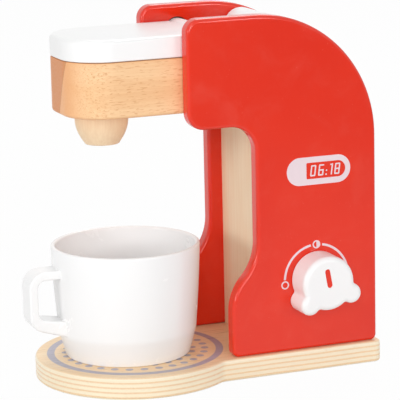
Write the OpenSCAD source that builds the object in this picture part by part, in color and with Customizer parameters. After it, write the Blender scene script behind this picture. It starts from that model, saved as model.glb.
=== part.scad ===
// Wooden toy coffee maker: two lacquered side panels carry a beech brewing head with a
// hinged lid over a pod well, a turned spout, a lift-out water tank, a plywood stand with a
// round drip area, a selector knob and a loose mug.
// Frame: X across the body with the knob at +X, Y from front to back, Z up. The origin is the
// middle of the round drip area, on the stand's underside. Lengths "behind" or "in front"
// count along Y from the front edge of the panels' arms.

/* [Stand] */
// Thickness of the plywood stand
base_t = 12; // [9:0.5:18]
// Diameter of the round drip area
disc_d = 110; // [96:1:124]
// Distance of the drip area's middle in front of the arms
disc_ahead = 19.7; // [16:0.1:26]
// Width of the stand's straight rear part
tongue_w = 84; // [82:1:92]
// Length of stand that shows behind the panels
rear_lip = 2.5; // [1:0.5:8]
// Hollow radius between the round and the straight part
waist_r = 6; // [3:0.5:12]
// Plan radius of the stand's rear corners
stand_corner_r = 5; // [3:0.5:10]

/* [Side panels] */
// Width over the two side panels
body_w = 79; // [74:0.5:81]
// Thickness of one side panel
panel_t = 9; // [8.5:0.5:11]
// Length of a side panel, from the arm's edge to its back
body_d = 109; // [102:0.5:120]
// Height of a side panel above the stand
body_h = 186; // [180:1:200]
// Radius of the great round at the top back
back_r = 70; // [60:1:74]
// Height of the arm, from its underside to the top
arm_h = 59.2; // [56:0.1:64]
// Reach of the arm in front of the column
bay_d = 38.3; // [32:0.1:42]
// Distance of the foot's front behind the arm's edge
foot_set = 23.1; // [16:0.1:27]
// Height above the stand where the foot's curve meets the column
curve_top = 63; // [56:1:76]
// Height above the stand where the foot's curve begins
curve_bottom = 24; // [18:1:30]
// Radius of the bay's inner corner
bay_r = 14; // [8:1:18]
// Radius of the arm's lower front corner
arm_low_r = 9; // [4:0.5:12]
// Radius of the arm's upper front corner
arm_top_r = 7.5; // [4:0.5:10]
// Radius of the two corners that stand on the plywood
foot_r = 3.5; // [3:0.5:8]

/* [Column] */
// Thickness of the boards between the panels
board_t = 9; // [8:0.5:10]
// Distance of the front board behind the bay's inner edge
board_set = 8; // [6:0.5:11]
// Distance of the back board inside the panels' back edges
back_set = 1.2; // [1:0.1:3]

/* [Brewing head] */
// Height of the beech block
head_h = 30; // [28:0.5:32]
// Height of the block's underside above the arm's underside
head_raise = 8.2; // [6:0.1:10]
// Reach of the block in front of the arms
head_nose = 59; // [57:0.1:64]
// Plan radius of the block's front corners
nose_r = 23; // [16:0.5:26]
// Diameter of the pod well
well_d = 40; // [34:0.5:42]
// Depth of the pod well
well_depth = 20; // [14:0.5:20]
// Distance of the spout's and the well's axis in front of the arms
spout_ahead = 35; // [33:0.1:36]
// Height of the turned spout below the block
spout_h = 17.5; // [12:0.5:22]
// Radius of the spout against the block
spout_top_r = 14; // [12:0.5:16]
// Control radius of the spout's belly
spout_belly_r = 16; // [13:0.5:17]
// Radius of the spout's lower face
spout_low_r = 9; // [6:0.5:11]
// Diameter of the spout's tenon
tenon_d = 12; // [8:0.5:14]
// Length of the spout's tenon
tenon_l = 6; // [4:0.5:7]

/* [Lid] */
// Thickness of the lid
lid_t = 11.7; // [10:0.1:12]
// Reach of the lid past the block's front
lid_over = 0.4; // [0:0.1:3]
// Gap under and beside the closed lid
lid_gap = 0.3; // [0.3:0.1:0.6]
// Distance of the hinge axis behind the arm's edge
hinge_back = 21.3; // [19:0.1:24]
// Radius of the lid's round hinge end
barrel_r = 6.4; // [6:0.1:7]
// Length of the hinge end that runs into each panel's seat
barrel_in = 1; // [0.5:0.1:1.5]
// Depth of the round seat in each panel
seat_depth = 2.5; // [2:0.1:3]
// Radial gap between the hinge end and its seats
seat_gap = 0.6; // [0.4:0.1:1]
// Diameter of the hinge pin
pin_d = 6; // [4:0.5:7]
// Depth of the hinge pin in a panel
pin_in = 7; // [5:0.5:7.5]

/* [Water tank] */
// Radius of the tank's upper front
tank_nose_r = 10; // [8:0.1:18]
// Distance of the tank's top inside the panels' outline
tank_reveal = 0.8; // [0.5:0.1:2]
// Gap between the tank and each panel
tank_gap = 0.4; // [0.3:0.1:1]
// Gap between the block and the tank's front
tank_front_gap = 1; // [0.5:0.1:2]

/* [Selector knob] */
// Distance of the knob's axis behind the arm's edge
knob_back = 72.7; // [69:0.1:78]
// Height of the knob's axis above the stand
knob_up = 39.8; // [36:0.1:46]
// Radius of the knob's round body
knob_r = 15; // [12.5:0.5:17]
// Radius of the knob's two lobes
lobe_r = 5.5; // [4.5:0.1:6.5]
// Distance of the lobes' centres from the knob's axis
lobe_out = 15.5; // [13:0.1:17]
// Angle of the lobes' centres below the knob's middle
lobe_angle = 37; // [30:1:45]
// Hollow radius between the round body and the lobes
lobe_blend = 2; // [1:0.1:3]
// Thickness of the knob
knob_t = 17; // [15:0.5:20]
// Gap between the knob and the panel
knob_gap = 0.4; // [0.3:0.1:0.8]
// Tilt of the knob as it stands
knob_tilt = 10; // [-80:1:80]
// Length of the sunk pointer line on the knob's face
mark_l = 10.7; // [8:0.1:12]
// Width of the sunk pointer line
mark_w = 3.1; // [2:0.1:4]
// Depth of the sunk pointer line
mark_depth = 0.8; // [0.4:0.1:1.5]
// Height of the pointer line's middle above the knob's axis
mark_up = 3.2; // [0:0.1:5]

/* [Mug] */
// Radius of the rim
mug_r = 40.8; // [38:0.1:43]
// Height of the mug
mug_h = 61.5; // [56:0.5:66]
// Radius where the wall bends in to the foot
mug_low_r = 37.9; // [36:0.1:40]
// Radius of the mug's foot
mug_foot_r = 34.2; // [30:0.1:36]
// Height of the cone between the foot and the wall
mug_bend_h = 14; // [8:0.5:20]
// Bow of the wall above the cone, 1 for a straight wall
mug_bow = 1.4; // [1:0.1:2]
// Thickness of the mug's wall
mug_wall = 2.6; // [2:0.1:3.5]
// Thickness of the mug's floor
mug_floor = 4; // [2.5:0.5:6]
// Distance of the mug's axis in front of the arms
mug_ahead = 23.4; // [20:0.1:28]
// Offset of the mug's axis to the side
mug_side = -1; // [-3:0.5:3]
// Reach of the handle from the mug's axis
handle_reach = 57.3; // [54:0.1:64]
// Width of the handle's strap
strap_w = 15; // [10:0.5:18]
// Thickness of the handle's strap
strap_t = 4.8; // [3.8:0.1:6]
// Height of the handle's top above the mug's foot
handle_top = 51; // [46:0.5:54]
// Height of the handle's lower outer corner above the mug's foot
handle_low = 20; // [17:0.5:24]
// Drop of the handle's lower strap on its way to the wall
handle_drop = 6; // [3:0.5:9]
// Radius of the handle's outer corners
handle_corner_r = 9; // [7:0.5:11]

/* [Fits and fasteners] */
// Radial gap of a shaft that turns in its hole
turn_gap = 0.08; // [0.03:0.01:0.1]
// Radial gap of a dowel, tenon or screw that is fixed in its hole
glue_gap = 0.04; // [0.02:0.01:0.08]
// End gap of a pin or dowel in a blind hole
end_gap = 0.4; // [0.2:0.1:1]
// Gap between faces that slide on each other
face_gap = 0.1; // [0.05:0.01:0.2]
// Diameter of a joint dowel
dowel_d = 6; // [5:0.5:6.5]
// Depth of a dowel in a panel
dowel_in = 6; // [4:0.5:7]
// Depth of a dowel in the board or block it holds
dowel_out = 11; // [8:0.5:16]
// Distance of the block's dowels inside the arm's edge and the block's back
head_dowel_in = 9; // [6:0.5:14]
// Distance of the boards' dowels from the boards' ends
board_dowel_in = 28; // [10:1:40]
// Distance of the shelf's front dowels behind the front board
shelf_dowel_in = 8; // [5:0.5:14]
// Distance of the shelf's rear dowels in front of the back board
shelf_dowel_rear = 4; // [4:0.5:10]
// Diameter of a stand screw
screw_d = 3.5; // [3:0.1:4]
// Diameter of a stand screw's countersunk head
screw_head_d = 7; // [6.5:0.1:8]
// Length of a stand screw
screw_l = 32; // [26:1:36]
// Distance of the front stand screws behind the feet's front
screw_front_in = 10; // [8:0.5:16]
// Distance of the rear stand screws inside the panels' back edges
screw_rear_in = 15; // [8:0.5:20]
// Distance of a stand screw's head above the table
screw_up = 0.6; // [0.3:0.1:1]
// Diameter of the knob's screw
axle_d = 4; // [3:0.1:5]
// Length of the knob's screw in the knob
axle_in = 11; // [8:0.5:12]
// Diameter of the knob screw's head
axle_head_d = 9; // [7:0.5:11]
// Thickness of the knob screw's head
axle_head_t = 3; // [2:0.1:4]
// Diameter of the washer behind the knob
washer_d = 12; // [10:0.5:14]
// Thickness of the washer behind the knob
washer_t = 1; // [0.8:0.1:1.5]

/* [Soft edges] */
// Rounding of the panels', tank's and stand's edges
edge_r = 1.5; // [1:0.1:2]
// Rounding of the lid's upper edge
lid_edge_r = 2.4; // [1:0.1:3]
// Rounding of the knob's front edge
knob_edge_r = 3; // [1.5:0.1:3.5]
// Rounding of the block's lower edge
head_edge_r = 2; // [1:0.1:2.4]
// Rounding of edges that are only sanded
sanded_r = 0.8; // [0.4:0.1:1]

/* [Hidden] */
$fn = 96;

// Steps of an edge rounding, and of a right-angled corner in an outline
edge_steps = 3;
corner_steps = 7;

// Heights above the table
top_z = base_t + body_h;
arm_z = top_z - arm_h;
head_z = arm_z + head_raise;
lid_z = head_z + head_h + lid_gap;
hinge_z = lid_z + barrel_r;
shelf_z = head_z - board_t;
knob_z = base_t + knob_up;

// Places across the body
inner_x = body_w / 2 - panel_t;
outer_x = body_w / 2;
screw_x = outer_x - panel_t / 2;

// Places along the body
arm_y = disc_ahead;
back_y = arm_y + body_d;
column_y = arm_y + bay_d;
foot_y = arm_y + foot_set;
board_y = column_y + board_set;
back_board_y = back_y - back_set - board_t;
hinge_y = arm_y + hinge_back;
head_front_y = arm_y - head_nose;
head_rear_y = board_y - tank_front_gap;
spout_y = arm_y - spout_ahead;
knob_y = arm_y + knob_back;
mug_y = arm_y - mug_ahead;
rear_y = back_y + rear_lip;
screw_ys = [foot_y + screw_front_in, back_y - screw_rear_in];

// Middle of the great round, as [Y, Z]
arc_c = [back_y - back_r, top_z - back_r];

// Dowel places in a panel, as [Y, Z]
head_dowel_z = head_z + head_h / 2;
low_dowel_z = base_t + board_dowel_in;
high_dowel_z = shelf_z - board_dowel_in;
shelf_dowel_z = shelf_z + board_t / 2;
head_dowel_spots = [for (y = [arm_y + head_dowel_in, head_rear_y - head_dowel_in])
    [y, head_dowel_z]];
front_dowel_spots = [for (z = [low_dowel_z, high_dowel_z]) [board_y + board_t / 2, z]];
back_dowel_spots = [for (z = [low_dowel_z, high_dowel_z]) [back_board_y + board_t / 2, z]];
shelf_dowel_spots = [
    for (y = [board_y + board_t + shelf_dowel_in, back_board_y - shelf_dowel_rear])
    [y, shelf_dowel_z]];
dowel_spots = concat(head_dowel_spots, front_dowel_spots, back_dowel_spots, shelf_dowel_spots);

// ---- outlines made of arcs ----------------------------------------------------------------
// An arc is [centre, radius, start angle, end angle]. An outline is a counter-clockwise list
// of arcs, in which a falling angle makes a hollow. An inset keeps every centre and angle:
// round corners lose it from their radius and hollow ones gain it.

function arc_steps(arc) =
    max(2, ceil(abs(arc[3] - arc[2]) / 90 * corner_steps * max(1, sqrt(arc[1] / 24))));

function arc_point(arc, part, inset) =
    let (a = arc[2] + (arc[3] - arc[2]) * part,
        r = arc[3] > arc[2] ? arc[1] - inset : arc[1] + inset)
    arc[0] + r * [cos(a), sin(a)];

// Whether the arc b starts where the arc a ends
function joined(a, b) = norm(arc_point(a, 1, 0) - arc_point(b, 0, 0)) < 0.02;

function outline(arcs, inset = 0) =
    let (n = len(arcs))
    [for (k = [0:n - 1])
        let (steps = arc_steps(arcs[k]),
            last = joined(arcs[k], arcs[(k + 1) % n]) ? steps - 1 : steps)
        for (i = [0:last]) arc_point(arcs[k], i / steps, inset)];

// The arc that rounds the corner p of a path that comes from a and goes on to b
function corner_arc(a, p, b, r) =
    let (u = (a - p) / norm(a - p),
        v = (b - p) / norm(b - p),
        half = acos(u * v) / 2,
        turn = sign(u[1] * v[0] - u[0] * v[1]),
        centre = p + (u + v) / norm(u + v) * r / sin(half),
        start = atan2(turn * u[0], -turn * u[1]))
    [centre, r, start, start + turn * (180 - 2 * half)];

// Arcs of a polygon given as [point, radius] pairs
function rounded(corners) =
    let (n = len(corners))
    [for (i = [0:n - 1])
        corner_arc(corners[(i + n - 1) % n][0], corners[i][0], corners[(i + 1) % n][0],
            corners[i][1])];

// Rings of a slab with quarter-round edges, as [height, inset] pairs
function edge_rings(height, low_r, high_r) = concat(
    [for (i = [0:edge_steps])
        let (a = 90 * i / edge_steps)
        [low_r * (1 - cos(a)), low_r * (1 - sin(a))]],
    [for (i = [0:edge_steps])
        let (a = 90 * i / edge_steps)
        [height - high_r * (1 - sin(a)), high_r * (1 - cos(a))]]);

// Twice the area of a triangle, negative when it runs clockwise
function turn_area(a, b, c) =
    (b[0] - a[0]) * (c[1] - a[1]) - (b[1] - a[1]) * (c[0] - a[0]);

function holds(a, b, c, p) =
    turn_area(a, b, p) >= 0 && turn_area(b, c, p) >= 0 && turn_area(c, a, p) >= 0;

// Whether the corner tri[1] can be cut off the outline whose points are left in ring
function is_ear(points, ring, tri) =
    let (a = points[tri[0]], b = points[tri[1]], c = points[tri[2]])
    turn_area(a, b, c) > 0.00001 && len([for (i = ring)
        if (i != tri[0] && i != tri[1] && i != tri[2] && holds(a, b, c, points[i])) i]) == 0;

// Cuts an outline with hollows into triangles, one corner at a time
function cap_triangles(points, ring, k = 0) =
    let (n = len(ring), at = k % n, tri = [ring[(at + n - 1) % n], ring[at], ring[(at + 1) % n]])
    n == 3 ? [tri]
    : is_ear(points, ring, tri)
        ? concat([tri], cap_triangles(points, [for (i = [0:n - 1]) if (i != at) ring[i]], at + 1))
        : cap_triangles(points, ring, at + 1);

// A slab that stands on Z = 0 on the arcs' outline, with rounded lower and upper edges
module soft_slab(arcs, height, low_r, high_r) {
    rings = edge_rings(height, low_r, high_r);
    n = len(outline(arcs));
    order = [for (i = [0:n - 1]) i];
    points = [for (ring = rings) for (p = outline(arcs, ring[1])) [p[0], p[1], ring[0]]];
    top = (len(rings) - 1) * n;
    sides = [for (k = [0:len(rings) - 2]) for (i = [0:n - 1])
        let (j = (i + 1) % n)
        [k * n + i, (k + 1) * n + i, (k + 1) * n + j, k * n + j]];
    floor_cap = cap_triangles(outline(arcs, low_r), order);
    top_cap = [for (tri = cap_triangles(outline(arcs, high_r), order))
        [top + tri[2], top + tri[1], top + tri[0]]];
    polyhedron(points, concat(floor_cap, sides, top_cap), convexity = 8);
}

// Turns a slab so that its outline's axes are Y and Z and its thickness runs along +X from x
module on_side(x) {
    translate([x, 0, 0]) rotate([90, 0, 90]) children();
}

// A cylinder along +X from x, at [Y, Z]
module rod_x(x, spot, length, r) {
    translate([x, spot[0], spot[1]]) rotate([0, 90, 0]) cylinder(h = length, r = r);
}

// Copies on the left as well as on the right
module both_sides() {
    children();
    mirror([1, 0, 0]) children();
}

// ---- stand ----------------------------------------------------------------------------------

function stand_arcs() =
    let (w = tongue_w / 2,
        r = disc_d / 2,
        cx = w + waist_r,
        cy = sqrt(pow(r + waist_r, 2) - pow(cx, 2)),
        a = atan2(cy, cx),
        c = stand_corner_r)
    [
        [[w - c, rear_y - c], c, 0, 90],
        [[c - w, rear_y - c], c, 90, 180],
        [[-cx, cy], waist_r, 0, -a],
        [[0, 0], r, 180 - a, 360 + a],
        [[cx, cy], waist_r, 180 + a, 180]
    ];

// Countersunk screw that points up, with its head's face on Z = 0
module countersunk(length, grow) {
    cone_h = (screw_head_d - screw_d) / 2;
    cylinder(h = cone_h, r1 = screw_head_d / 2 + grow, r2 = screw_d / 2 + grow);
    cylinder(h = length, r = screw_d / 2 + grow);
}

module at_screws() {
    both_sides() for (y = screw_ys) translate([screw_x, y, screw_up]) children();
}

module base_plate() {
    color([0.93, 0.80, 0.60])
    difference() {
        soft_slab(stand_arcs(), base_t, edge_r, edge_r);
        at_screws() {
            countersunk(screw_l, glue_gap);
            translate([0, 0, -2 * screw_up])
                cylinder(h = 2 * screw_up, r = screw_head_d / 2 + glue_gap);
        }
    }
}

module base_screws() {
    color([0.72, 0.70, 0.66])
    at_screws() countersunk(screw_l, 0);
}

// ---- side panels ----------------------------------------------------------------------------

// The foot's S-shaped front is two equal arcs; a little straight is left between them
function panel_arcs() =
    let (rise = curve_top - curve_bottom,
        run = bay_d - foot_set,
        bend = 2 * atan2(run, rise),
        r = rise / sin(bend) / 2,
        reach = r * tan(bend / 2),
        upper = [column_y, base_t + curve_top - reach],
        lower = [foot_y, base_t + curve_bottom + reach])
    rounded([
        [[foot_y, base_t], foot_r],
        [[back_y, base_t], foot_r],
        [[back_y, top_z], back_r],
        [[arm_y, top_z], arm_top_r],
        [[arm_y, arm_z], arm_low_r],
        [[column_y, arm_z], bay_r],
        [upper, 0.97 * r],
        [lower, 0.97 * r]
    ]);

// Everything that is bored into the right panel; the left one is its mirror image
module panel_bores() {
    rod_x(inner_x - 1, [hinge_y, hinge_z], seat_depth + 1, barrel_r + seat_gap);
    rod_x(inner_x - 1, [hinge_y, hinge_z], pin_in + end_gap + 1, pin_d / 2 + glue_gap);
    for (spot = dowel_spots)
        rod_x(inner_x - 1, spot, dowel_in + end_gap + 1, dowel_d / 2 + glue_gap);
    for (y = screw_ys) translate([screw_x, y, screw_up])
        cylinder(h = screw_l + end_gap, r = screw_d / 2 + glue_gap);
}

module bored_panel() {
    difference() {
        on_side(inner_x) soft_slab(panel_arcs(), panel_t, edge_r, edge_r);
        panel_bores();
    }
}

module left_panel() {
    color([0.90, 0.22, 0.16])
    mirror([1, 0, 0]) bored_panel();
}

module right_panel() {
    color([0.90, 0.22, 0.16])
    difference() {
        bored_panel();
        rod_x(inner_x - 1, [knob_y, knob_z], panel_t + 2, axle_d / 2 + turn_gap);
    }
}

// ---- column ---------------------------------------------------------------------------------

// Blind holes in a board or block whose ends lie against the panels
module board_bores(spots) {
    both_sides() for (spot = spots)
        rod_x(inner_x - dowel_out - end_gap, spot, dowel_out + end_gap + 1, dowel_d / 2 + glue_gap);
}

module board(y, z, depth, height, spots) {
    color([0.96, 0.86, 0.70])
    difference() {
        translate([-inner_x, y, z]) cube([2 * inner_x, depth, height]);
        board_bores(spots);
    }
}

module front_board() {
    board(board_y, base_t, board_t, head_z - base_t, front_dowel_spots);
}

module back_board() {
    board(back_board_y, base_t, board_t, shelf_z - base_t, back_dowel_spots);
}

// The shelf ends inside the great round
module tank_shelf() {
    shelf_y = board_y + board_t;
    end_y = arc_c[0] + sqrt(pow(back_r - back_set, 2) - pow(head_z - arc_c[1], 2));
    board(shelf_y, shelf_z, end_y - shelf_y, board_t, shelf_dowel_spots);
}

module dowels(spots) {
    color([0.90, 0.74, 0.52])
    both_sides() for (spot = spots)
        rod_x(inner_x - dowel_out, spot, dowel_out + dowel_in, dowel_d / 2);
}

module head_dowels() {
    dowels(head_dowel_spots);
}

module board_dowels() {
    dowels(concat(front_dowel_spots, back_dowel_spots));
}

module shelf_dowels() {
    dowels(shelf_dowel_spots);
}

// ---- brewing head ---------------------------------------------------------------------------

// A plan from y0 to y1 with round front corners
function head_arcs(half_w, y0, y1, front_r, rear_r) = rounded([
    [[-half_w, y0], front_r],
    [[half_w, y0], front_r],
    [[half_w, y1], rear_r],
    [[-half_w, y1], rear_r]
]);

module head_block() {
    color([0.95, 0.74, 0.50])
    difference() {
        translate([0, 0, head_z])
            soft_slab(head_arcs(inner_x, head_front_y, head_rear_y, nose_r, head_edge_r + 0.5),
                head_h, head_edge_r, sanded_r);
        translate([0, spout_y, head_z + head_h - well_depth])
            cylinder(h = well_depth + 1, r = well_d / 2);
        translate([0, spout_y, head_z - 1])
            cylinder(h = tenon_l + end_gap + 1, r = tenon_d / 2 + glue_gap);
        board_bores(head_dowel_spots);
    }
}

// Radius of the spout at a part of its height, from the block down
function spout_radius(part) =
    pow(1 - part, 2) * spout_top_r + 2 * part * (1 - part) * spout_belly_r
        + pow(part, 2) * spout_low_r;

module spout() {
    steps = 10;
    low_part = 1 - sanded_r / spout_h;
    side = [for (i = [0:steps])
        let (part = low_part * i / steps)
        [spout_radius(part), -spout_h * part]];
    foot = [[spout_low_r - 0.4 * sanded_r, -spout_h + 0.3 * sanded_r],
        [spout_low_r - 1.4 * sanded_r, -spout_h], [0, -spout_h]];
    tenon = [[0, tenon_l], [tenon_d / 2, tenon_l], [tenon_d / 2, 0]];
    color([0.97, 0.85, 0.70])
    translate([0, spout_y, head_z])
    rotate_extrude() polygon(concat(tenon, side, foot));
}

// ---- lid --------------------------------------------------------------------------------------

module hinge_pin() {
    color([0.78, 0.78, 0.78])
    rod_x(-inner_x - pin_in, [hinge_y, hinge_z], 2 * (inner_x + pin_in), pin_d / 2);
}

module lid() {
    half_w = inner_x - lid_gap;
    half_barrel = inner_x + barrel_in;
    color([0.97, 0.97, 0.96])
    difference() {
        union() {
            translate([0, 0, lid_z])
                soft_slab(head_arcs(half_w, head_front_y - lid_over, hinge_y, nose_r + lid_over,
                    lid_edge_r + 0.5), lid_t, sanded_r, lid_edge_r);
            rod_x(-half_barrel, [hinge_y, hinge_z], 2 * half_barrel, barrel_r);
        }
        rod_x(-half_barrel - 1, [hinge_y, hinge_z], 2 * half_barrel + 2, pin_d / 2 + turn_gap);
    }
}

// ---- water tank -------------------------------------------------------------------------------

// Front, nose, top along the great round, and a small lower rear corner, all tangent
function tank_arcs() =
    let (y0 = head_rear_y + tank_front_gap,
        r = back_r - tank_reveal,
        c = edge_r + 0.5,
        nose_y = y0 + tank_nose_r,
        nose = [nose_y, arc_c[1] + sqrt(pow(r - tank_nose_r, 2) - pow(nose_y - arc_c[0], 2))],
        low_z = head_z + c,
        low = [arc_c[0] + sqrt(pow(r - c, 2) - pow(low_z - arc_c[1], 2)), low_z],
        nose_a = atan2(nose[1] - arc_c[1], nose[0] - arc_c[0]),
        low_a = atan2(low[1] - arc_c[1], low[0] - arc_c[0]))
    [
        [[y0 + c, low_z], c, 180, 270],
        [low, c, -90, low_a],
        [arc_c, r, low_a, nose_a],
        [nose, tank_nose_r, nose_a, 180]
    ];

module water_tank() {
    half_w = inner_x - tank_gap;
    color([0.96, 0.96, 0.95])
    on_side(-half_w) soft_slab(tank_arcs(), 2 * half_w, edge_r, edge_r);
}

// ---- knob -------------------------------------------------------------------------------------

// Arcs that run round one lobe, from one hollow blend to the other; phi points to the lobe
function lobe_arcs(phi) =
    let (a = knob_r + lobe_blend,
        b = lobe_r + lobe_blend,
        d = lobe_out,
        delta = acos((a * a + d * d - b * b) / (2 * a * d)),
        eps = acos((b * b + d * d - a * a) / (2 * b * d)))
    [
        [a * [cos(phi - delta), sin(phi - delta)], lobe_blend, phi - delta + 180, phi + eps],
        [d * [cos(phi), sin(phi)], lobe_r, phi + eps - 180, phi + 180 - eps],
        [a * [cos(phi + delta), sin(phi + delta)], lobe_blend, phi - eps, phi + delta - 180]
    ];

function knob_arcs() =
    let (right = lobe_arcs(-lobe_angle),
        left = lobe_arcs(180 + lobe_angle))
    concat(
        right,
        [[[0, 0], knob_r, right[2][3] + 180, left[0][2] - 180]],
        left,
        [[[0, 0], knob_r, left[2][3] + 180, right[0][2] + 180]]);

// The knob's frame: its face looks along +X, and it stands turned by the tilt
module knob_place() {
    translate([outer_x, knob_y, knob_z]) rotate([90, 0, 90]) rotate([0, 0, knob_tilt]) children();
}

module knob() {
    half_mark = (mark_l - mark_w) / 2;
    recess = washer_t + face_gap - knob_gap;
    color([0.97, 0.97, 0.97])
    knob_place()
    difference() {
        translate([0, 0, knob_gap]) soft_slab(knob_arcs(), knob_t, sanded_r, knob_edge_r);
        translate([0, 0, knob_gap - 1])
            cylinder(h = recess + 1, r = washer_d / 2 + glue_gap);
        cylinder(h = face_gap + washer_t + axle_in + end_gap, r = axle_d / 2 + glue_gap);
        translate([0, mark_up, knob_gap + knob_t - mark_depth]) {
            for (side = [-1, 1]) translate([0, side * half_mark, 0])
                cylinder(h = mark_depth + 1, r = mark_w / 2);
            translate([-mark_w / 2, -half_mark, 0])
                cube([mark_w, 2 * half_mark, mark_depth + 1]);
        }
    }
}

module knob_washer() {
    color([0.80, 0.80, 0.80])
    knob_place()
    difference() {
        translate([0, 0, face_gap]) cylinder(h = washer_t, r = washer_d / 2);
        cylinder(h = face_gap + washer_t + 1, r = axle_d / 2 + glue_gap);
    }
}

module knob_screw() {
    head_z0 = -panel_t - face_gap - axle_head_t;
    slot_w = 1.2;
    color([0.75, 0.75, 0.75])
    knob_place()
    difference() {
        union() {
            translate([0, 0, head_z0]) cylinder(h = axle_head_t, r = axle_head_d / 2);
            translate([0, 0, head_z0])
                cylinder(h = face_gap + washer_t + axle_in - head_z0, r = axle_d / 2);
        }
        translate([-axle_head_d, -slot_w / 2, head_z0 - 1])
            cube([2 * axle_head_d, slot_w, 1 + axle_head_t / 2]);
    }
}

// ---- mug --------------------------------------------------------------------------------------

// Outer radius of the mug at a height above its foot
function mug_radius(h) = h < mug_bend_h
    ? mug_foot_r + (mug_low_r - mug_foot_r) * h / mug_bend_h
    : mug_low_r + (mug_r - mug_low_r)
        * (1 - pow(1 - (h - mug_bend_h) / (mug_h - mug_bend_h), mug_bow));

// Heights of the wall's rings above the foot, from the cone to the rim
function mug_rings() = [for (k = [0:6]) mug_bend_h + (mug_h - mug_bend_h) * k / 6];

// Points of the mug's side at the given heights, set in by a distance
function mug_side_points(heights, inset) = [for (h = heights) [mug_radius(h) - inset, h]];

module mug_place() {
    translate([mug_side, mug_y, base_t]) children();
}

module mug_cup() {
    lip_r = mug_wall / 2;
    lip_h = mug_h - lip_r;
    low_h = mug_floor + 2;
    rings = [for (h = mug_rings()) if (h < lip_h) h];
    outer = mug_side_points(concat([sanded_r], rings), 0);
    lip = [for (a = [0:30:180])
        [mug_r - lip_r + lip_r * cos(a), lip_h + lip_r * sin(a)]];
    inner = mug_side_points(concat([for (k = [len(rings) - 1:-1:0]) rings[k]], [low_h]),
        mug_wall);
    low = [[0, mug_floor], [0, 0], [mug_foot_r - sanded_r, 0]];
    color([0.98, 0.98, 0.98])
    mug_place()
    rotate_extrude() polygon(concat(low, outer, lip, inner,
        [[mug_radius(low_h) - mug_wall - 2, mug_floor]]));
}

// The strap's side view: outer path from the wall round to the wall, then the inner path back
function handle_arcs() =
    let (in_y = -(mug_low_r - mug_wall - 2),
        out_y = -handle_reach,
        eye_y = out_y + strap_t,
        eye_r = handle_corner_r - strap_t,
        fall = handle_drop / (handle_reach - mug_low_r),
        low_end = handle_low - fall * (in_y - out_y),
        eye_low = handle_low + strap_t)
    rounded([
        [[in_y, handle_top], 2],
        [[out_y, handle_top], handle_corner_r],
        [[out_y, handle_low], handle_corner_r],
        [[in_y, low_end], 2],
        [[in_y, eye_low - 0.4 * (handle_low - low_end)], 2],
        [[eye_y, eye_low], eye_r],
        [[eye_y, handle_top - strap_t], eye_r],
        [[in_y, handle_top - strap_t], 2]
    ]);

module mug_handle() {
    grip_r = 1.2;
    color([0.98, 0.98, 0.98])
    mug_place()
    difference() {
        on_side(-strap_w / 2) soft_slab(handle_arcs(), strap_w, grip_r, grip_r);
        rotate_extrude() polygon(concat([[0, 0]],
            mug_side_points(concat([0], mug_rings()), -glue_gap), [[0, mug_h]]));
    }
}

base_plate();
left_panel();
right_panel();
front_board();
back_board();
tank_shelf();
head_block();
spout();
hinge_pin();
lid();
water_tank();
knob();
knob_screw();
knob_washer();
mug_cup();
mug_handle();
head_dowels();
board_dowels();
shelf_dowels();
base_screws();
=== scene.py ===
"""Looks of a wooden toy coffee maker: lacquered panels, a beech brewing head with a hinged
lid, a lift-out water tank, a plywood stand, a selector knob and a mug.

Sizes are millimetres and become metres in the modelling calls, and what a material measures
is in metres. An outline is a list of arcs, each with its centre, its radius, and the angles
in degrees where it starts and ends.
"""
import math

import bmesh
import bpy
from mathutils import Matrix, Vector


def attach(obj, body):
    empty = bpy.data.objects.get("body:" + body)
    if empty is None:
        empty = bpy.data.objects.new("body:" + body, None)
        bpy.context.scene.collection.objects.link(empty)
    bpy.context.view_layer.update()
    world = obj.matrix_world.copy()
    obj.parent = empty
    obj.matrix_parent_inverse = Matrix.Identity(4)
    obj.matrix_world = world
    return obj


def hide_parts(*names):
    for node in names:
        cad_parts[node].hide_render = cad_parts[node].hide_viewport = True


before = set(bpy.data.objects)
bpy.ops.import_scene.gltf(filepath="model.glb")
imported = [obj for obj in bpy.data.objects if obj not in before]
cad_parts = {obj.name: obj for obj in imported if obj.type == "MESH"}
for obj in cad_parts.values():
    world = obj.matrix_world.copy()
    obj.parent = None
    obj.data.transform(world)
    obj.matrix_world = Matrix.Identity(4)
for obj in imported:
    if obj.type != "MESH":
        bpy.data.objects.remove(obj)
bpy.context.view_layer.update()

MM = 0.001

# ---- sizes, as in the part's own solids ----------------------------------------------------

BASE_T = 12
DISC_R = 55
TONGUE_HALF = 42
TONGUE_CORNER = 5
WAIST_R = 6
REAR_Y = 131.2

TOP_Z = 198
INNER_X, OUTER_X = 30.5, 39.5
ARM_Y, ARM_Z = 19.7, 138.8
COLUMN_Y = 58
FOOT_Y = 42.8
BACK_Y = 128.7
BACK_R = 70
BACK_C = Vector((58.7, 128))
CURVE_TOP, CURVE_LOW = 75, 36
FOOT_R = 3.5
ARM_TOP_R, ARM_LOW_R = 7.5, 9
BAY_R = 14

HEAD_Z, HEAD_TOP = 147, 177
HEAD_FRONT, HEAD_REAR = -39.3, 65
NOSE_R = 23
SPOUT_Y = -15.3
WELL_R, WELL_DEPTH = 20, 20

LID_Z, LID_TOP = 177.3, 189
LID_FRONT = -39.7
LID_HALF = 30.2
LID_NOSE_R = 23.4
HINGE = Vector((41, 183.7))
BARREL_R, BARREL_HALF = 6.4, 31.5

TANK_HALF = 30.1
TANK_FRONT = 68.3

KNOB = Vector((92.4, 51.8))
KNOB_TILT = 10
KNOB_R = 15
KNOB_BACK, KNOB_T = 39.9, 17

MUG = Vector((-1, -3.7))
MUG_FOOT_R, MUG_BELLY_R, MUG_FLARE = 34.2, 37.9, 2.9
MUG_BELLY_Z, MUG_RIM_Z = 14, 60.2
MUG_WALL, MUG_LIP_R = 2.6, 1.3

# Edge roundings.

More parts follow.
